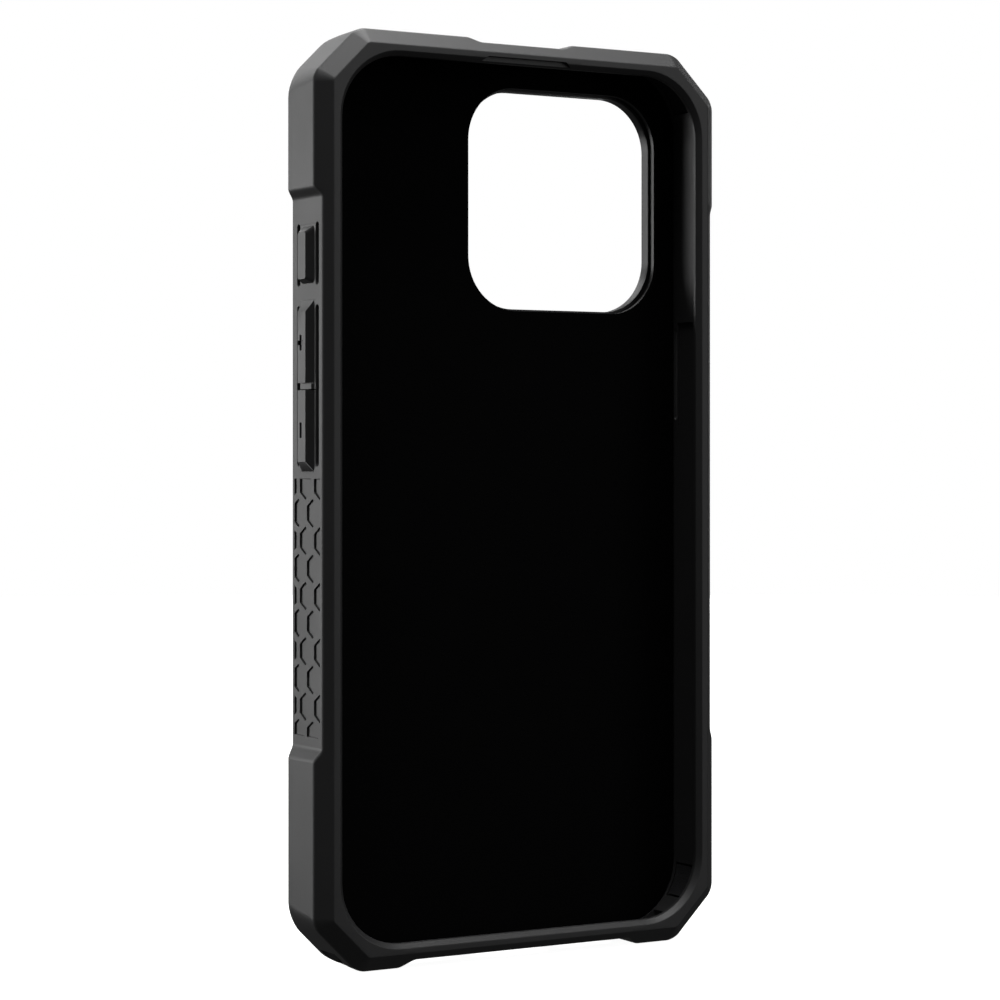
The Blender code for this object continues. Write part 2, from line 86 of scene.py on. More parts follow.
lens = bpy.data.cameras.new("camera")
lens.sensor_width = 36
lens.lens = 101.33
lens.shift_y = -0.0445
lens.clip_start = 0.01
camera = add_object("camera", lens)
camera.rotation_euler = (math.pi / 2, 0, -CAMERA_YAW)
sin_yaw, cos_yaw = math.sin(CAMERA_YAW), math.cos(CAMERA_YAW)
camera.location = at(
    -CAMERA_SIDESTEP * cos_yaw - CAMERA_DISTANCE * sin_yaw,
    CAMERA_SIDESTEP * sin_yaw - CAMERA_DISTANCE * cos_yaw,
    CAMERA_HEIGHT,
)
bpy.context.scene.camera = camera
bpy.context.scene.view_settings.view_transform = "Standard"

sky = bpy.data.worlds.new("sky")
sky.use_nodes = True
sky_nodes, sky_links = sky.node_tree.nodes, sky.node_tree.links
sky_nodes.clear()
seen_sky = sky_nodes.new("ShaderNodeBackground")
seen_sky.inputs["Color"].default_value = (1, 1, 1, 1)
fill_sky = sky_nodes.new("ShaderNodeBackground")
fill_sky.inputs["Color"].default_value = (1, 1, 1, 1)
fill_sky.inputs["Strength"].default_value = 0.06
ray = sky_nodes.new("ShaderNodeLightPath")
choice = sky_nodes.new("ShaderNodeMixShader")
sky_output = sky_nodes.new("ShaderNodeOutputWorld")
sky_links.new(ray.outputs["Is Camera Ray"], choice.inputs["Fac"])
sky_links.new(fill_sky.outputs["Background"], choice.inputs[1])
sky_links.new(seen_sky.outputs["Background"], choice.inputs[2])
sky_links.new(choice.outputs["Shader"], sky_output.inputs["Surface"])
bpy.context.scene.world = sky

FLOOR_RADIUS = 1.2

bm = bmesh.new()
bmesh.ops.create_circle(bm, cap_ends=True, segments=96, radius=FLOOR_RADIUS)
floor_mesh = bpy.data.meshes.new("floor")
bm.to_mesh(floor_mesh)
bm.free()
floor = add_object("floor", floor_mesh)
floor.visible_diffuse = False
floor.visible_glossy = False
floor_paint, nodes, links, output = new_material("pale floor")
shader = nodes.new("ShaderNodeBsdfPrincipled")
shader.inputs["Base Color"].default_value = (0.45, 0.45, 0.45, 1)
shader.inputs["Roughness"].default_value = 0.9
shader.inputs["Emission Strength"].default_value = 1.0
place = nodes.new("ShaderNodeTexCoord")
distance = nodes.new("ShaderNodeVectorMath")
distance.operation = "LENGTH"
glow = nodes.new("ShaderNodeMapRange")
glow.inputs["From Min"].default_value = 0.1
glow.inputs["From Max"].default_value = 0.5
glow.inputs["To Min"].default_value = 0.96
glow.inputs["To Max"].default_value = 1.0
links.new(place.outputs["Object"], distance.inputs[0])
links.new(distance.outputs["Value"], glow.inputs["Value"])
links.new(glow.outputs["Result"], shader.inputs["Emission Color"])
links.new(shader.outputs["BSDF"], output.inputs["Surface"])
floor_mesh.materials.append(floor_paint)

# Each lamp: where it hangs, its width and height, and its power.
LAMPS = {
    "overhead lamp": ((0.10, 0.02, 0.95), (0.7, 0.5), 8.3),
    "back top lamp": ((0.15, 0.65, 0.85), (0.6, 0.4), 3.6),
    "high left lamp": ((-0.30, -0.22, 0.95), (0.35, 0.35), 2.3),
    "back left lamp": ((-0.62, 0.62, 0.12), (0.5, 0.4), 3.7),
    "high back lamp": ((-0.10, 0.95, 0.52), (0.5, 0.3), 1.5),
    "front right lamp": ((0.62, -0.85, 0.25), (0.5, 0.6), 1.0),
    "high front lamp": ((0.45, -0.70, 0.85), (0.5, 0.4), 1.7),
    "front lamp": ((0.0, -1.0, 0.3), (0.4, 0.6), 0.3),
    "back right lamp": ((0.75, 0.80, 0.30), (0.4, 0.6), 3.0),
}
aim = at(0, 6.5, 0)
for name, (place, size, power) in LAMPS.items():
    lamp = bpy.data.lights.new(name, "AREA")
    lamp.shape = "RECTANGLE"
    lamp.size, lamp.size_y = size
    lamp.energy = power
    hung = add_object(name, lamp)
    hung.location = place
    hung.rotation_euler = (Vector(place) - aim).to_track_quat("Z", "Y").to_euler()

# A black card held in the camera window keeps the lamps behind the case from shining through it onto the
# lip. The card itself is never seen.
bm = bmesh.new()
bmesh.ops.create_grid(bm, x_segments=1, y_segments=1, size=18.0 * MM)
bmesh.ops.rotate(bm, verts=bm.verts, cent=(0, 0, 0), matrix=Matrix.Rotation(math.pi / 2, 3, "X"))
bmesh.ops.translate(bm, verts=bm.verts, vec=at(13.0, 12.5, 50.0))
card_mesh = bpy.data.meshes.new("black card")
bm.to_mesh(card_mesh)
bm.free()
card = add_object("black_card", card_mesh)
card.visible_camera = False
card.visible_diffuse = False
card.visible_glossy = False

# The bumper frame. One injection moulding of soft black thermoplastic rubber: a deep rail round the phone
# with cut corners, a flat front rim, thick bumpers at the four corners and thinner waists between them. Its
# skin is the fine matt of a blasted mould.

CORNER_STEPS = 6


def outline_loop(bm, corners, radius, steps, depth):
    """The edges of a closed loop through these corners of a convex shape, rounded, at one depth."""
    verts = [bm.verts.new(at(x, depth, z)) for x, z in corners]
    bm.faces.new(verts)
    half_turn = math.pi / len(corners)
    bmesh.ops.bevel(
        bm,
        geom=verts,
        offset=radius * MM * math.tan(half_turn),
        segments=steps,
        profile=0.5,
        affect="VERTICES",
        material=-1,
    )
    face = bm.faces[:][-1]
    edges = face.edges[:]
    bmesh.ops.delete(bm, geom=[face], context="FACES_ONLY")
    return edges


def cut_corner_loop(bm, half_width, half_height, corner_sum, radius, depth):
    """A loop of the octagon whose cut corners lie where width and height add up to corner_sum."""
    upper = [
        (half_width, corner_sum - half_width),
        (corner_sum - half_height, half_height),
        (half_height - corner_sum, half_height),
        (-half_width, corner_sum - half_width),
    ]
    lower = [(x, -z) for x, z in reversed(upper)]
    return outline_loop(bm, upper + lower, radius, CORNER_STEPS, depth)


def square_corner_loop(bm, half_width, half_height, radius, depth):
    """A loop of the rectangle, with as many points as the octagon has."""
    corners = [
        (half_width, -half_height),
        (half_width, half_height),
        (-half_width, half_height),
        (-half_width, -half_height),
    ]
    return outline_loop(bm, corners, radius, 2 * CORNER_STEPS + 1, depth)


def smooth_step(part):
    return part * part * (3 - 2 * part)


class Waist:
    """A stretch between two bumpers where the wall lies further in, with a smooth step at each end."""

    def __init__(self, drop, full, ends):
        self.drop, self.full, self.ends = drop, full, ends

    def cuts(self, steps=10):
        """The places along the wall where its mesh needs a line."""
        for near, far in zip(self.ends, self.full):
            for step in range(steps + 1):
                yield near + (far - near) * step / steps

    def depth_at(self, along):
        low = (along - self.ends[0]) / (self.full[0] - self.ends[0])
        high = (self.ends[1] - along) / (self.ends[1] - self.full[1])
        return self.drop * smooth_step(max(0, min(1, low, high)))


SIDE_WAIST = Waist(1.07, (-39.2, 47.9), (-41.7, 49.95))
TOP_WAIST = Waist(0.8, (-7.5, 7.2), (-10.3, 10.3))
BOTTOM_WAIST = Waist(1.35, (-20.0, 20.0), (-23.0, 23.0))

LIP_FRONT, LIP_BACK = (34.42, 71.8, 11.0), (33.67, 71.05, 10.3)
LIP_CHAMFER, LIP_THICKNESS = 0.9, 1.6
RIM_EDGE = (35.6, 72.8, 102.1, 0.9)
FRONT_EDGE = (38.1, 75.35, 105.6, 3.4)
WALL_MIDDLE = (38.1, 75.35, 105.7, 5.6)
BACK_EDGE = (38.1, 75.35, 105.7, 7.2)
BACK_FACE = (35.2, 72.5, 102.0, 7.2)
FLANGE = (33.2, 71.2, 9.0)
BAY = (35.45, 73.45, 11.0)
FRONT_EDGE_DEPTH, WALL_MIDDLE_DEPTH, BACK_EDGE_DEPTH = 2.35, 9.0, 11.6
FLANGE_DEPTH, FRAME_DEPTH = 11.9, 13.0
SIDE_FACE = 37.03

# Each loop round the section of the rail, from the lip out to the back and in again, and how far its edge
# is eased.
bm = bmesh.new()
easing = bm.edges.layers.float.new("easing")
rail_loops = [
    (square_corner_loop(bm, *LIP_FRONT, 0), 0.12),
    (cut_corner_loop(bm, *RIM_EDGE, 0), 0.15),
    (cut_corner_loop(bm, *FRONT_EDGE, FRONT_EDGE_DEPTH), 0.4),
    (cut_corner_loop(bm, *WALL_MIDDLE, WALL_MIDDLE_DEPTH), 0),
    (cut_corner_loop(bm, *BACK_EDGE, BACK_EDGE_DEPTH), 0.3),
    (cut_corner_loop(bm, *BACK_FACE, FRAME_DEPTH), 0.25),
    (square_corner_loop(bm, *FLANGE, FRAME_DEPTH), 0.15),
    (square_corner_loop(bm, *FLANGE, FLANGE_DEPTH), 0),
    (square_corner_loop(bm, *BAY, FLANGE_DEPTH), 0),
    (square_corner_loop(bm, *BAY, LIP_THICKNESS), 0),
    (square_corner_loop(bm, *LIP_BACK, LIP_THICKNESS), 0.1),
    (square_corner_loop(bm, *LIP_BACK, LIP_CHAMFER), 0.15),
]
for edges, eased in rail_loops:
    for edge in edges:
        edge[easing] = eased
for (near, _), (far, _) in zip(rail_loops, rail_loops[1:] + rail_loops[:1]):
    bmesh.ops.bridge_loops(bm, edges=near + far)
bmesh.ops.recalc_face_normals(bm, faces=bm.faces)
SIDE_WALLS_FROM, END_WALLS_FROM = 33, 69.3
for waist, line_way, wall_way, walls_from in (
    (SIDE_WAIST, (0, 0, 1), (-1, 0, 0), SIDE_WALLS_FROM),
    (SIDE_WAIST, (0, 0, 1), (1, 0, 0), SIDE_WALLS_FROM),
    (TOP_WAIST, (1, 0, 0), (0, 0, 1), END_WALLS_FROM),
    (BOTTOM_WAIST, (1, 0, 0), (0, 0, -1), END_WALLS_FROM),
):
    for along in waist.cuts():
        outer = [
            face
            for face in bm.faces
            if (face.calc_center_median() - at(0, 0, 0)).dot(Vector(wall_way)) > walls_from * MM
        ]
        edges = {edge for face in outer for edge in face.edges}
        verts = {vert for face in outer for vert in face.verts}
        bmesh.ops.bisect_plane(
            bm,
            geom=[*verts, *edges, *outer],
            dist=1e-7,
            plane_co=at(along, 0, along),
            plane_no=line_way,
        )
front_slope = FRONT_EDGE_DEPTH / (FRONT_EDGE[0] - RIM_EDGE[0])
back_slope = (FRAME_DEPTH - BACK_EDGE_DEPTH) / (BACK_EDGE[0] - BACK_FACE[0])
# The bumpers' own faces lie beyond these, so only the walls between them move in.
SIDE_WAIST_LIMIT = 60
END_FACE, END_WAIST_LIMIT = 74, 28
for vert in bm.verts:
    across, depth, height = (vert.co - at(0, 0, 0)) / MM
    if abs(across) > SIDE_FACE and abs(height) < SIDE_WAIST_LIMIT:
        drop = SIDE_WAIST.depth_at(height)
        vert.co.x -= math.copysign(drop, across) * MM
    elif abs(height) > END_FACE and abs(across) < END_WAIST_LIMIT:
        waist = TOP_WAIST if height > 0 else BOTTOM_WAIST
        drop = waist.depth_at(across)
        vert.co.z -= math.copysign(drop, height) * MM
    else:
        continue
    if depth < FRONT_EDGE_DEPTH + 0.1:
        vert.co.y -= drop * front_slope * MM
    elif depth > BACK_EDGE_DEPTH - 0.1:
        vert.co.y += drop * back_slope * MM
eased_edges = {}
for edge in bm.edges:
    if edge[easing] > 0.01:
        eased_edges.setdefault(round(edge[easing], 3), []).append(edge)
for eased, edges in eased_edges.items():
    bmesh.ops.bevel(
        bm, geom=edges, offset=eased * MM, segments=3, profile=0.5, affect="EDGES", material=-1
    )
bmesh.ops.recalc_face_normals(bm, faces=bm.faces)
rail_mesh = bpy.data.meshes.new("bumper_rail")
bm.to_mesh(rail_mesh)
bm.free()
bumper_rail = add_object("bumper_rail", rail_mesh)

# The openings of the frame: a living-hinge slit before and behind each button, the hole its cover works in,
# the honeycomb grip, the scoop for the earpiece, the ports, and the way for a wrist strap.

BUTTON_DEPTH = 6.4
STRIP_HALF, SLIT_REACH = 2.735, 3.94
HAIRLINE = 0.02
CUT_EASE = 0.1
# Each button's opening: its side, where its strip starts and ends, and where the slits beside it do.
BUTTON_OPENINGS = (
    (-1, (34.4, 43.9), (34.13, 44.19)),
    (-1, (4.45, 31.85), (5.33, 31.07)),
    (1, (12.5, 30.0), (13.2, 29.3)),
)
CELL_SIDE, CELL_PITCH, CELL_RECESS, CELL_EASE = 2.24, 5.1, 0.29, 0.05
GRIP_DEPTHS, GRIP_HEIGHTS = (2.05, 11.3), (-37.8, 3.4)
GRIP_FIRST_ROW, GRIP_ROWS, GRIP_FIRST_CELL = 2.3, 10, 2.26


def combine(target, shape, operation="DIFFERENCE"):
    """Cuts a closed bmesh out of a mesh object for good, or joins it on."""
    bmesh.ops.recalc_face_normals(shape, faces=shape.faces)
    mesh = bpy.data.meshes.new("cutter")
    shape.to_mesh(mesh)
    shape.free()
    tool = add_object("cutter", mesh)
    modifier = target.modifiers.new("combine", "BOOLEAN")
    modifier.object = tool
    modifier.operation = operation
    evaluated = target.evaluated_get(bpy.context.evaluated_depsgraph_get())
    made = bpy.data.meshes.new_from_object(evaluated)
    target.modifiers.remove(modifier)
    old = target.data
    target.data = made
    bpy.data.meshes.remove(old)
    made.name = target.name
    bpy.data.objects.remove(tool)
    bpy.data.meshes.remove(mesh)


def rectangle(across, along):
    return [(across[0], along[0]), (across[1], along[0]), (across[1], along[1]), (across[0], along[1])]


def draw(bm, place, corners, radius=0, steps=4):
    """A flat face through corners that place() puts on the object, rounded to a radius if one is given."""
    verts = [bm.verts.new(place(a, b)) for a, b in corners]
    face = bm.faces.new(verts)
    if radius:
        bmesh.ops.bevel(
            bm,
            geom=verts,
            offset=radius * MM * math.tan(math.pi / len(corners)),
            segments=steps,
            profile=0.5,
            affect="VERTICES",
            material=-1,
        )
        face = bm.faces[:][-1]
    return face


def pull(bm, faces, way):
    """Extrudes faces by a vector in mm, and leaves the first ones in place."""
    made = bmesh.ops.extrude_face_region(bm, geom=faces, use_keep_orig=True)
    moved = [item for item in made["geom"] if isinstance(item, bmesh.types.BMVert)]
    bmesh.ops.translate(bm, verts=moved, vec=Vector(way) * MM)


def sink(bm, faces, outward, stages):
    """Turns faces on a wall into cutters: proud of it, and going in by stages of (inset, deeper)."""
    outward = Vector(outward)
    pull(bm, faces, outward * 2)
    for face in faces:
        face.normal_update()
        if face.normal.dot(outward) > 0:
            face.normal_flip()
    for inset, deeper in stages:
        bmesh.ops.inset_individual(
            bm, faces=faces, thickness=inset * MM, depth=deeper * MM, use_even_offset=True
        )


def on_side(side, out=0):
    """Turns depth and height into a place on a side wall, or standing out from it."""
    return lambda depth, height: at(side * (SIDE_FACE + out), depth, height)


def hexagon(centre, reach):
    turns = [math.radians(60 * i) for i in range(6)]
    return [(centre[0] + reach * math.sin(turn), centre[1] + reach * math.cos(turn)) for turn in turns]


WALL_CUT = 2.6
SLIT_RADIUS = 0.58
EASED_HOLE = ((CUT_EASE, CUT_EASE), (0, WALL_CUT))

grip = bmesh.new()
for side in (-1, 1):
    place = on_side(side)
    cells = bmesh.new()
    for row in range(GRIP_ROWS):
        height = GRIP_FIRST_ROW - row * CELL_PITCH * math.sqrt(3) / 2
        for column in range(-1, 3):
            depth = GRIP_FIRST_CELL + (column + row % 2 / 2) * CELL_PITCH
            draw(cells, place, hexagon((depth, height), CELL_SIDE + CELL_EASE))
    for limit, normal in (
        (place(GRIP_DEPTHS[0], 0), (0, -1, 0)),
        (place(GRIP_DEPTHS[1], 0), (0, 1, 0)),
        (place(0, GRIP_HEIGHTS[0]), (0, 0, -1)),
        (place(0, GRIP_HEIGHTS[1]), (0, 0, 1)),
    ):
        bmesh.ops.bisect_plane(
            cells,
            geom=cells.verts[:] + cells.edges[:] + cells.faces[:],
            plane_co=limit,
            plane_no=normal,
            clear_outer=True,
        )
    stages = ((CELL_EASE, CELL_EASE), (0, CELL_RECESS - 2 * CELL_EASE), (CELL_EASE, CELL_EASE))
    sink(cells, cells.faces[:], (side, 0, 0), stages)
    half = bpy.data.meshes.new("cells")
    bmesh.ops.recalc_face_normals(cells, faces=cells.faces)
    cells.to_mesh(half)
    cells.free()
    grip.from_mesh(half)
    bpy.data.meshes.remove(half)
combine(bumper_rail, grip)

slits = bmesh.new()
strips = bmesh.new()
for side, strip, slit in BUTTON_OPENINGS:
    place = on_side(side)
    for reach in (-1, 1):
        depths = sorted((BUTTON_DEPTH + reach * STRIP_HALF, BUTTON_DEPTH + reach * SLIT_REACH))
        face = draw(slits, place, rectangle(depths, slit), SLIT_RADIUS, 5)
        sink(slits, [face], (side, 0, 0), EASED_HOLE)
    depths = (BUTTON_DEPTH - STRIP_HALF - HAIRLINE, BUTTON_DEPTH + STRIP_HALF + HAIRLINE)
    face = draw(strips, place, rectangle(depths, (strip[0] - HAIRLINE, strip[1] + HAIRLINE)))
    sink(strips, [face], (side, 0, 0), ((0, WALL_CUT),))
combine(bumper_rail, slits)
combine(bumper_rail, strips)

# The scoop for the earpiece leaves a thin sill along the lip. The strap way goes in at a lower corner,
# passes behind a bridge and comes out below. Four pockets behind the corners hold the dampers.

SCOOP = [(-8.4, 71.32), (8.4, 71.32), (7.3, 72.12), (-7.4, 72.12)]
SCOOP_DEPTH = 0.78
STRAP_DEPTHS = (4.7, 9.9)
STRAP_RADIUS = 0.4
STRAP_ENTRY = [(-34.1, -73.5), (-29.4, -78.2), (-29.4, -74.1), (-32.04, -71.44)]
STRAP_WAY = [(-31.9, -73.9), (-24.5, -74.4), (-24.5, -71.0), (-31.0, -71.0)]
STRAP_EXIT = [(-27.6, -78.0), (-22.6, -78.0), (-22.6, -71.5), (-27.6, -71.5)]
# Each port in the bottom wall: its middle, half its width and half its depth.
PORTS = ((0, 6.8, 3.2), (14.6, 5.2, 1.3), (-14.6, 5.2, 1.3))
PORT_DEPTH = 6.4
BOTTOM_FACE = 74.0
PORT_EASE, PORT_CUT = 0.25, 2.2
DAMPER_POCKET = (10.5, 11.9)
DAMPER_POCKET_DEPTHS = (3.1, 9.5)
# Each pocket: its side, its end, and where its arc runs between them, in degrees.
POCKETS = ((1, 1, 18.3, 71.7), (-1, 1, 18.3, 71.7), (1, -1, 4.3, 35.7), (-1, -1, 4.3, 35.7))
GUARD_CENTRE = (13.0, 50.0)
GUARD_SEAT = (20.8, 20.9, 11.3)
GUARD_SEAT_DEPTHS = (11.5, 14.0)


def on_bottom(across, depth):
    return at(across, depth, -BOTTOM_FACE)


def flat_at(depth):
    return lambda across, height: at(across, depth, height)


def prism(bm, corners, depths, radius=0, steps=4):
    """A solid with this outline between two depths."""
    face = draw(bm, flat_at(depths[0]), corners, radius, steps)
    pull(bm, [face], (0, depths[1] - depths[0], 0))


def box_round(centre, half_width, half_height):
    return rectangle(
        (centre[0] - half_width, centre[0] + half_width),
        (centre[1] - half_height, centre[1] + half_height),
    )


def arc_band(side, end, first, last, radii, steps):
    """A band round a corner of the bay, as an outline."""
    centre = (BAY[0] - BAY[2], BAY[1] - BAY[2])
    turns = [math.radians(first + (last - first) * step / steps) for step in range(steps + 1)]
    outline = []
    for radius, order in ((radii[1], turns), (radii[0], turns[::-1])):
        for turn in order:
            across = centre[0] + radius * math.cos(turn)
            height = centre[1] + radius * math.sin(turn)
            outline.append((side * across, end * height))
    return outline


bm = bmesh.new()
prism(bm, SCOOP, (-1, SCOOP_DEPTH))
combine(bumper_rail, bm)

for outline, radius in ((STRAP_ENTRY, STRAP_RADIUS), (STRAP_EXIT, STRAP_RADIUS), (STRAP_WAY, 0)):
    bm = bmesh.new()
    for side in (-1, 1):
        prism(bm, [(-side * x, z) for x, z in outline], STRAP_DEPTHS, radius)
    combine(bumper_rail, bm)

bm = bmesh.new()
for middle, half_width, half_depth in PORTS:
    corners = box_round((middle, PORT_DEPTH), half_width, half_depth)
    face = draw(bm, on_bottom, corners, half_depth * 0.99, 10)
    sink(bm, [face], (0, 0, -1), ((PORT_EASE, PORT_EASE), (0, PORT_CUT)))
combine(bumper_rail, bm)

bm = bmesh.new()
for side, end, first, last in POCKETS:
    prism(bm, arc_band(side, end, first, last, DAMPER_POCKET, 24), DAMPER_POCKET_DEPTHS)
combine(bumper_rail, bm)

bm = bmesh.new()
prism(bm, box_round(GUARD_CENTRE, *GUARD_SEAT[:2]), GUARD_SEAT_DEPTHS, GUARD_SEAT[2], 16)
combine(bumper_rail, bm)


def finish_mesh(obj, material, body, sharp=35):
    """Gives a piece its material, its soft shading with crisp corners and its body."""
    mesh = obj.data
    mesh.materials.clear()
    mesh.materials.append(material)
    for polygon in mesh.polygons:
        polygon.use_smooth = True
    mesh.set_sharp_from_angle(angle=math.radians(sharp))
    even = obj.modifiers.new("even", "WEIGHTED_NORMAL")
    even.keep_sharp = True
    even.weight = 90
    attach(obj, body)


# The fine grain of every finish here: tone and polish drift slowly over a piece, and a fine noise lifts its
# surface.
fine_grain = bpy.data.node_groups.new("fine grain", "ShaderNodeTree")
for label, kind, way in (
    ("Colour", "NodeSocketColor", "INPUT"),
    ("Pale Colour", "NodeSocketColor", "INPUT"),
    ("Least Roughness", "NodeSocketFloat", "INPUT"),
    ("Most Roughness", "NodeSocketFloat", "INPUT"),
    ("Grain Scale", "NodeSocketFloat", "INPUT"),
    ("Grain Strength", "NodeSocketFloat", "INPUT"),
    ("Grain Depth", "NodeSocketFloat", "INPUT"),
    ("Colour", "NodeSocketColor", "OUTPUT"),
    ("Roughness", "NodeSocketFloat", "OUTPUT"),
    ("Normal", "NodeSocketVector", "OUTPUT"),
):
    fine_grain.interface.new_socket(name=label, in_out=way, socket_type=kind)
nodes, links = fine_grain.nodes, fine_grain.links
given = nodes.new("NodeGroupInput")
result = nodes.new("NodeGroupOutput")
place = nodes.new("ShaderNodeTexCoord")
drift = nodes.new("ShaderNodeTexNoise")
drift.inputs["Scale"].default_value = 90
drift.inputs["Detail"].default_value = 3
grain_noise = nodes.new("ShaderNodeTexNoise")
grain_noise.inputs["Detail"].default_value = 2
tone = nodes.new("ShaderNodeMix")
tone.data_type = "RGBA"
polish = nodes.new("ShaderNodeMapRange")
lift = nodes.new("ShaderNodeBump")
links.new(place.outputs["Object"], drift.inputs["Vector"])
links.new(place.outputs["Object"], grain_noise.inputs["Vector"])
links.new(given.outputs["Grain Scale"], grain_noise.inputs["Scale"])
links.new(drift.outputs["Fac"], tone.inputs["Factor"])
links.new(given.outputs["Colour"], tone.inputs[6])
links.new(given.outputs["Pale Colour"], tone.inputs[7])
links.new(drift.outputs["Fac"], polish.inputs["Value"])
links.new(given.outputs["Least Roughness"], polish.inputs["To Min"])
links.new(given.outputs["Most Roughness"], polish.inputs["To Max"])
links.new(grain_noise.outputs["Fac"], lift.inputs["Height"])
links.new(given.outputs["Grain Strength"], lift.inputs["Strength"])
links.new(given.outputs["Grain Depth"], lift.inputs["Distance"])
links.new(tone.outputs[2], result.inputs["Colour"])
links.new(polish.outputs["Result"], result.inputs["Roughness"])
links.new(lift.outputs["Normal"], result.inputs["Normal"])


def grained(name, colour, pale, roughness, grain_scale, grain, specular=0.5, metallic=0.0):
    """A grained finish: its two tones, its range of roughness, and the strength and depth of its grain."""
    made, nodes, links, output = new_material(name)
    shader = nodes.new("ShaderNodeBsdfPrincipled")
    shader.inputs["Metallic"].default_value = metallic
    shader.inputs["Specular IOR Level"].default_value = specular
    surface = nodes.new("ShaderNodeGroup")
    surface.node_tree = fine_grain
    surface.inputs["Colour"].default_value = (*colour, 1)
    surface.inputs["Pale Colour"].default_value = (*pale, 1)
    surface.inputs["Least Roughness"].default_value = roughness[0]
    surface.inputs["Most Roughness"].default_value = roughness[1]
    surface.inputs["Grain Scale"].default_value = grain_scale
    surface.inputs["Grain Strength"].default_value = grain[0]
    surface.inputs["Grain Depth"].default_value = grain[1] * MM
    links.new(surface.outputs["Colour"], shader.inputs["Base Color"])
    links.new(surface.outputs["Roughness"], shader.inputs["Roughness"])
    links.new(surface.outputs["Normal"], shader.inputs["Normal"])
    links.new(shader.outputs["BSDF"], output.inputs["Surface"])
    return made


soft_rubber = grained(
    "soft black rubber", (0.020, 0.020, 0.0205), (0.024, 0.024, 0.0246), (0.46, 0.54), 5000, (0.25, 0.03)
)
finish_mesh(bumper_rail, soft_rubber, "case")
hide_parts("bumper_frame")

# The button covers. Each is a strip of the same rubber with a raised bar on it, joined to the frame at its
# ends only, so that it gives under a finger. The two volume bars meet at a notch, and are marked + and -.

COVER_THICKNESS, BAR_RISE = 1.1, 1.15
BAR_BASE, BAR_TOP = 2.24, 1.38
# Each cover: body, side, ends of its strip, base of its bar, raised face, the curve at the bar's foot and
# the rounding of its corners.
BIG_SOFTENING, SMALL_SOFTENING = (0.5, 0.4), (0.15, 0.12)
COVERS = {
    "action_button": ("action_cover", -1, (34.4, 43.9), (34.5, 43.6), (35.17, 42.67), BIG_SOFTENING),
    "volume_up_button": (
        "volume_up_cover", -1, (17.66, 31.85), (17.66, 31.8), (17.66, 30.05), SMALL_SOFTENING
    ),
    "volume_down_button": (
        "volume_down_cover", -1, (4.45, 17.48), (4.55, 17.48), (6.05, 17.48), SMALL_SOFTENING
    ),
    "power_button": ("power_cover", 1, (12.5, 30.0), (12.8, 29.7), (14.2, 28.3), SMALL_SOFTENING),
}
# The volume bars stop square at the notch: where each ends, the lowered stretch, and the groove at its top.
SQUARE_ENDS = {"volume_up_button": 17.66, "volume_down_button": 17.48}
NOTCH, NOTCH_GROOVE = (17.0, 18.65), (18.5, 18.65)
NOTCH_FLOOR, GROOVE_FLOOR = 0.4, 0.1
MARK_DEPTH, MARK_CUT = 6.72, 0.4
PLUS_HEIGHT, MINUS_HEIGHT = 25.05, 11.1
MARK_HALF_LENGTH, MARK_HALF_WIDTH, CROSS_HALF = 1.23, 0.37, 1.0

button_rubber = grained(
    "button rubber", (0.021, 0.021, 0.0215), (0.025, 0.025, 0.0256), (0.44, 0.52), 5000, (0.25, 0.03)
)


def ring_on_side(bm, side, out, half, ends):
    corners = rectangle((BUTTON_DEPTH - half, BUTTON_DEPTH + half), ends)
    return draw(bm, on_side(side, out), corners)


def ease(bm, edges, size, steps=3):
    bmesh.ops.bevel(
        bm, geom=edges, offset=size * MM, segments=steps, profile=0.5, affect="EDGES", material=-1
    )


def to_object(name, bm):
    bmesh.ops.recalc_face_normals(bm, faces=bm.faces)
    mesh = bpy.data.meshes.new(name)
    bm.to_mesh(mesh)
    bm.free()
    return add_object(name, mesh)


def cut_mark(cover, side, outline):
    """Engraves a mark in the raised face of a cover."""
    bm = bmesh.new()
    face = draw(bm, on_side(side, BAR_RISE - MARK_CUT), outline)
    pull(bm, [face], (side, 0, 0))
    combine(cover, bm)


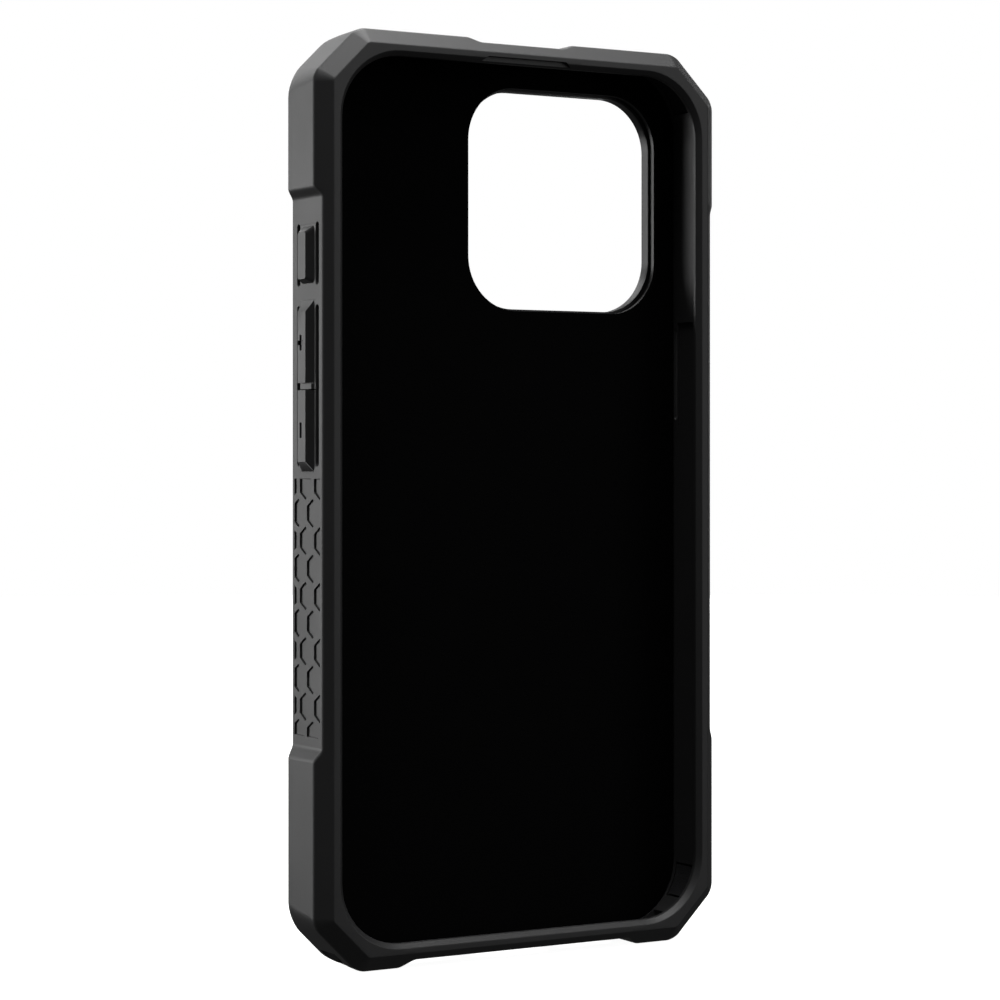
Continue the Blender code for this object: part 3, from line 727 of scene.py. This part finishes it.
def button_cover(name, body, side, strip, base, raised, softening):
    """One cover: the strip in the wall, and the bar on it from its foot to its raised face."""
    bm = bmesh.new()
    rings = [
        ring_on_side(bm, side, -COVER_THICKNESS, STRIP_HALF, strip),
        ring_on_side(bm, side, 0, STRIP_HALF, strip),
        ring_on_side(bm, side, 0, BAR_BASE, base),
        ring_on_side(bm, side, BAR_RISE, BAR_TOP, raised),
    ]
    foot, top = set(rings[2].verts), set(rings[3].verts)
    for near, far in zip(rings, rings[1:]):
        bmesh.ops.bridge_loops(bm, edges=near.edges[:] + far.edges[:])
    bmesh.ops.delete(bm, geom=rings[1:-1], context="FACES_ONLY")
    bmesh.ops.recalc_face_normals(bm, faces=bm.faces)
    square = at(0, 0, SQUARE_ENDS.get(name, 1000)).z
    sloped = [e for e in bm.edges if any(abs(vert.co.z - square) > 1e-6 for vert in e.verts)]
    ridges = [e for e in sloped if e.verts[0] in foot | top and len(top & set(e.verts)) == 1]
    rims = [e for e in sloped if set(e.verts) <= top]
    foot_ends = [
        e
        for e in sloped
        if set(e.verts) <= foot and abs(e.verts[0].co.z - e.verts[1].co.z) < MM
    ]
    foot_curve, corner = softening
    ease(bm, ridges, corner, 4)
    ease(bm, [e for e in foot_ends if e.is_valid], foot_curve, 4)
    ease(bm, [e for e in rims if e.is_valid], 0.12)
    cover = to_object(name.replace("button", "key"), bm)
    if name == "volume_up_button":
        for heights, out in ((NOTCH, NOTCH_FLOOR), (NOTCH_GROOVE, GROOVE_FLOOR)):
            bm = bmesh.new()
            face = draw(bm, on_side(side, out), rectangle((0, FRAME_DEPTH), heights))
            pull(bm, [face], (side * 3, 0, 0))
            combine(cover, bm)
        arm, half, cross = MARK_HALF_LENGTH, MARK_HALF_WIDTH, CROSS_HALF
        quarter = [(half, arm), (half, half), (cross, half)]
        plus = quarter + [(a, -b) for a, b in quarter[::-1]]
        plus += [(-a, -b) for a, b in quarter] + [(-a, b) for a, b in quarter[::-1]]
        cut_mark(cover, side, [(MARK_DEPTH + a, PLUS_HEIGHT + b) for a, b in plus])
    if name == "volume_down_button":
        minus = box_round((MARK_DEPTH, MINUS_HEIGHT), MARK_HALF_WIDTH, MARK_HALF_LENGTH)
        cut_mark(cover, side, minus)
    finish_mesh(cover, button_rubber, body)
    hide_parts(name)


for name, values in COVERS.items():
    button_cover(name, *values)

# The corner dampers. Four curved pads of closed-cell foam, stuck in the pockets behind the corners, where
# they take up a fall. They show only from inside.

DAMPER_BAND = (11.0, 11.6)
DAMPER_DEPTHS = (3.4, 9.2)
DAMPERS = {
    "corner_damper_top_right": (1, 1, 20, 70),
    "corner_damper_top_left": (-1, 1, 20, 70),
    "corner_damper_bottom_right": (1, -1, 6, 34),
    "corner_damper_bottom_left": (-1, -1, 6, 34),
}
foam = grained(
    "damper foam",
    (0.010, 0.010, 0.011),
    (0.018, 0.018, 0.019),
    (0.85, 0.95),
    2600,
    (0.8, 0.12),
    specular=0.2,
)


def edges_at(bm, *depths):
    """The edges that lie flat at one of these depths."""
    levels = [at(0, depth, 0).y for depth in depths]
    return [
        edge
        for edge in bm.edges
        if any(all(abs(vert.co.y - level) < 1e-7 for vert in edge.verts) for level in levels)
    ]


for name, (side, end, first, last) in DAMPERS.items():
    bm = bmesh.new()
    prism(bm, arc_band(side, end, first, last, DAMPER_BAND, 16), DAMPER_DEPTHS)
    ease(bm, edges_at(bm, *DAMPER_DEPTHS), 0.1, 2)
    pad = to_object(name.replace("corner_damper", "foam_damper"), bm)
    finish_mesh(pad, foam, "case")
    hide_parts(name)

# The lining. A thin sheet of black microfibre bonded to the inside of the rear shell, with the camera
# window cut out of it. Its short pile drinks up nearly all light.

LINING = (35.15, 73.15, 10.7)
LINING_DEPTHS = (10.05, 10.45)
WINDOW, THROUGH_BACK = (18.6, 18.7, 9.0), (9, 16)
microfibre = grained(
    "lining microfibre",
    (0.0012, 0.0012, 0.0013),
    (0.0022, 0.0022, 0.0023),
    (0.95, 1.0),
    3200,
    (0.6, 0.08),
    specular=0.05,
)


def plate(name, sizes, depths, eased=0.1, centre=(0, 0)):
    """A flat plate with round corners and eased edges."""
    bm = bmesh.new()
    prism(bm, box_round(centre, *sizes[:2]), depths, sizes[2], 16)
    ease(bm, edges_at(bm, *depths), eased)
    return to_object(name, bm)


def cut_window(piece, sizes=WINDOW, steps=16):
    """Cuts the camera window right through a piece."""
    bm = bmesh.new()
    prism(bm, box_round(GUARD_CENTRE, *sizes[:2]), THROUGH_BACK, sizes[2], steps)
    combine(piece, bm)


lining = plate("microfibre_lining", LINING, LINING_DEPTHS)
cut_window(lining)
finish_mesh(lining, microfibre, "case")
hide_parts("inner_lining")

# The rear shell. A hard polycarbonate plate that the rubber frame is moulded round, with its raised middle
# flush with the frame. It has a channel for the magnets inside, and seats for the guard, the grip and the
# feet outside.

SHELL = (35.15, 73.15, 10.7)
SHELL_DEPTHS, RAISED_DEPTHS = (10.75, 11.6), (11.1, 12.9)
RAISED = (32.9, 70.9, 8.7)
SHELL_GUARD_DEPTHS = (11.7, 14.0)
MAGNET_CENTRE = -1.5
CHANNEL, CHANNEL_DEPTHS = (22.7, 27.3), (9.5, 11.55)
ALIGNMENT_CENTRE, ALIGNMENT_SEAT = (0, -38.5), (2.5, 8.8, 0.6)
GRIP_CENTRE, GRIP_SEAT, GRIP_SEAT_DEPTHS = (0, -19.5), (28.8, 45.3, 6.3), (12.2, 14.0)
FEET = {
    "skid_pad_top_left": (-22.0, 66.5),
    "skid_pad_top_middle": (-22.0, 33.0),
    "skid_pad_bottom_left": (-22.0, -67.6),
    "skid_pad_bottom_right": (22.0, -67.6),
}
FOOT_SEAT, FOOT_SEAT_DEPTHS = (4.8, 1.7, 1.2), (12.3, 14.0)

hard_shell = grained(
    "hard black shell", (0.016, 0.016, 0.0165), (0.019, 0.019, 0.0195), (0.38, 0.46), 3500, (0.3, 0.03)
)

shell = plate("hard_shell", SHELL, SHELL_DEPTHS)
bm = bmesh.new()
prism(bm, box_round((0, 0), *RAISED[:2]), RAISED_DEPTHS, RAISED[2], 16)
ease(bm, edges_at(bm, RAISED_DEPTHS[1]), 0.2)
combine(shell, bm, "UNION")
cut_window(shell)
bm = bmesh.new()
prism(bm, box_round(GUARD_CENTRE, *GUARD_SEAT[:2]), SHELL_GUARD_DEPTHS, GUARD_SEAT[2], 16)
combine(shell, bm)
bm = bmesh.new()
prism(bm, box_round(GRIP_CENTRE, *GRIP_SEAT[:2]), GRIP_SEAT_DEPTHS, GRIP_SEAT[2], 12)
for centre in FEET.values():
    prism(bm, box_round(centre, *FOOT_SEAT[:2]), FOOT_SEAT_DEPTHS, FOOT_SEAT[2], 6)
combine(shell, bm)
bm = bmesh.new()
section = draw(bm, lambda out, depth: at(out, depth, MAGNET_CENTRE), rectangle(CHANNEL, CHANNEL_DEPTHS))
bmesh.ops.delete(bm, geom=[section], context="FACES_ONLY")
bmesh.ops.spin(
    bm,
    geom=bm.verts[:] + bm.edges[:],
    cent=at(0, 0, MAGNET_CENTRE),
    axis=(0, 1, 0),
    angle=math.tau,
    steps=96,
    use_merge=True,
    use_duplicate=False,
)
combine(shell, bm)
bm = bmesh.new()
prism(bm, box_round(ALIGNMENT_CENTRE, *ALIGNMENT_SEAT[:2]), CHANNEL_DEPTHS, ALIGNMENT_SEAT[2], 4)
combine(shell, bm)
finish_mesh(shell, hard_shell, "case")
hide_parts("rear_shell")

# The magnets. Eighteen short arcs of nickel-plated neodymium in a ring, and one bar below it that turns a
# charger the right way round. They lie between the lining and the shell.

plated = grained(
    "nickel plating", (0.50, 0.49, 0.46), (0.58, 0.57, 0.54), (0.22, 0.34), 900, (0.15, 0.01), metallic=1.0
)
for name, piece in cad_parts.items():
    if name.startswith("ring_magnet") or name == "alignment_magnet":
        piece.data.materials.clear()
        piece.data.materials.append(plated)

# The grip on the back. A thin panel of the soft rubber, pressed into the shell, with the same honeycomb as
# the sides sunk into its face.

GRIP_PANEL, GRIP_PANEL_DEPTHS = (28.5, 45.0, 6.0), (12.5, 13.0)
PANEL_EASE, PANEL_RECESS = 0.08, 0.2
panel = plate("honeycomb_panel", GRIP_PANEL, GRIP_PANEL_DEPTHS, eased=0.12, centre=GRIP_CENTRE)
PANEL_CELL = CELL_SIDE + 0.08
# The cells keep clear of the panel's sides and ends, and further clear of its round corners.
CELLS_ACROSS, CELLS_ALONG = 25.6, 40.8
CORNER_ACROSS, CORNER_ALONG = 22, 35.8
bm = bmesh.new()
for row in range(-10, 11):
    along = row * CELL_PITCH * math.sqrt(3) / 2
    for column in range(-6, 7):
        across = (column + row % 2 / 2) * CELL_PITCH
        if abs(across) > CELLS_ACROSS or abs(along) >= CELLS_ALONG:
            continue
        if abs(across) > CORNER_ACROSS and abs(along) >= CORNER_ALONG:
            continue
        draw(bm, flat_at(GRIP_PANEL_DEPTHS[1]), hexagon((across, GRIP_CENTRE[1] + along), PANEL_CELL))
sink(bm, bm.faces[:], (0, 1, 0), ((PANEL_EASE, PANEL_EASE), (0, PANEL_RECESS - PANEL_EASE)))
combine(panel, bm)
finish_mesh(panel, soft_rubber, "case")
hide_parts("rear_grip_panel")

# The camera guard. A ring of dark anodised aluminium, milled with a dull satin face, and
# pressed into its seat round the window so that the lenses never touch a table.

GUARD_OUTER, GUARD_INNER = (20.5, 20.6, 11.0), (18.2, 18.3, 9.0)
GUARD_DEPTHS = (12.0, 14.2)
anodised = grained(
    "dark anodising",
    (0.018, 0.018, 0.019),
    (0.024, 0.024, 0.025),
    (0.34, 0.42),
    4200,
    (0.12, 0.01),
    metallic=0.6,
)
bm = bmesh.new()
prism(bm, box_round(GUARD_CENTRE, *GUARD_OUTER[:2]), GUARD_DEPTHS, GUARD_OUTER[2], 20)
ease(bm, edges_at(bm, GUARD_DEPTHS[1]), 0.6, 4)
guard = to_object("milled_guard", bm)
cut_window(guard, GUARD_INNER, 20)
bm = bmesh.new()
bm.from_mesh(guard.data)
inner = [
    edge
    for edge in edges_at(bm, GUARD_DEPTHS[1])
    if all(
        abs(vert.co.x / MM - GUARD_CENTRE[0]) < GUARD_INNER[0] + 0.01
        and abs(vert.co.z / MM - middle_height - GUARD_CENTRE[1]) < GUARD_INNER[1] + 0.01
        for vert in edge.verts
    )
]
ease(bm, inner, 0.25, 2)
bm.to_mesh(guard.data)
bm.free()
finish_mesh(guard, anodised, "case")
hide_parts("camera_guard")

# The feet. Four small pads of the soft rubber, set into the shell so that they stand a little proud of it.

FOOT, FOOT_DEPTHS = (4.5, 1.4, 1.0), (12.6, 13.4)
for name, centre in FEET.items():
    bm = bmesh.new()
    prism(bm, box_round(centre, *FOOT[:2]), FOOT_DEPTHS, FOOT[2], 8)
    ease(bm, edges_at(bm, FOOT_DEPTHS[1]), 0.25)
    foot = to_object(name.replace("skid_pad", "rubber_foot"), bm)
    finish_mesh(foot, soft_rubber, "case")
    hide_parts(name)
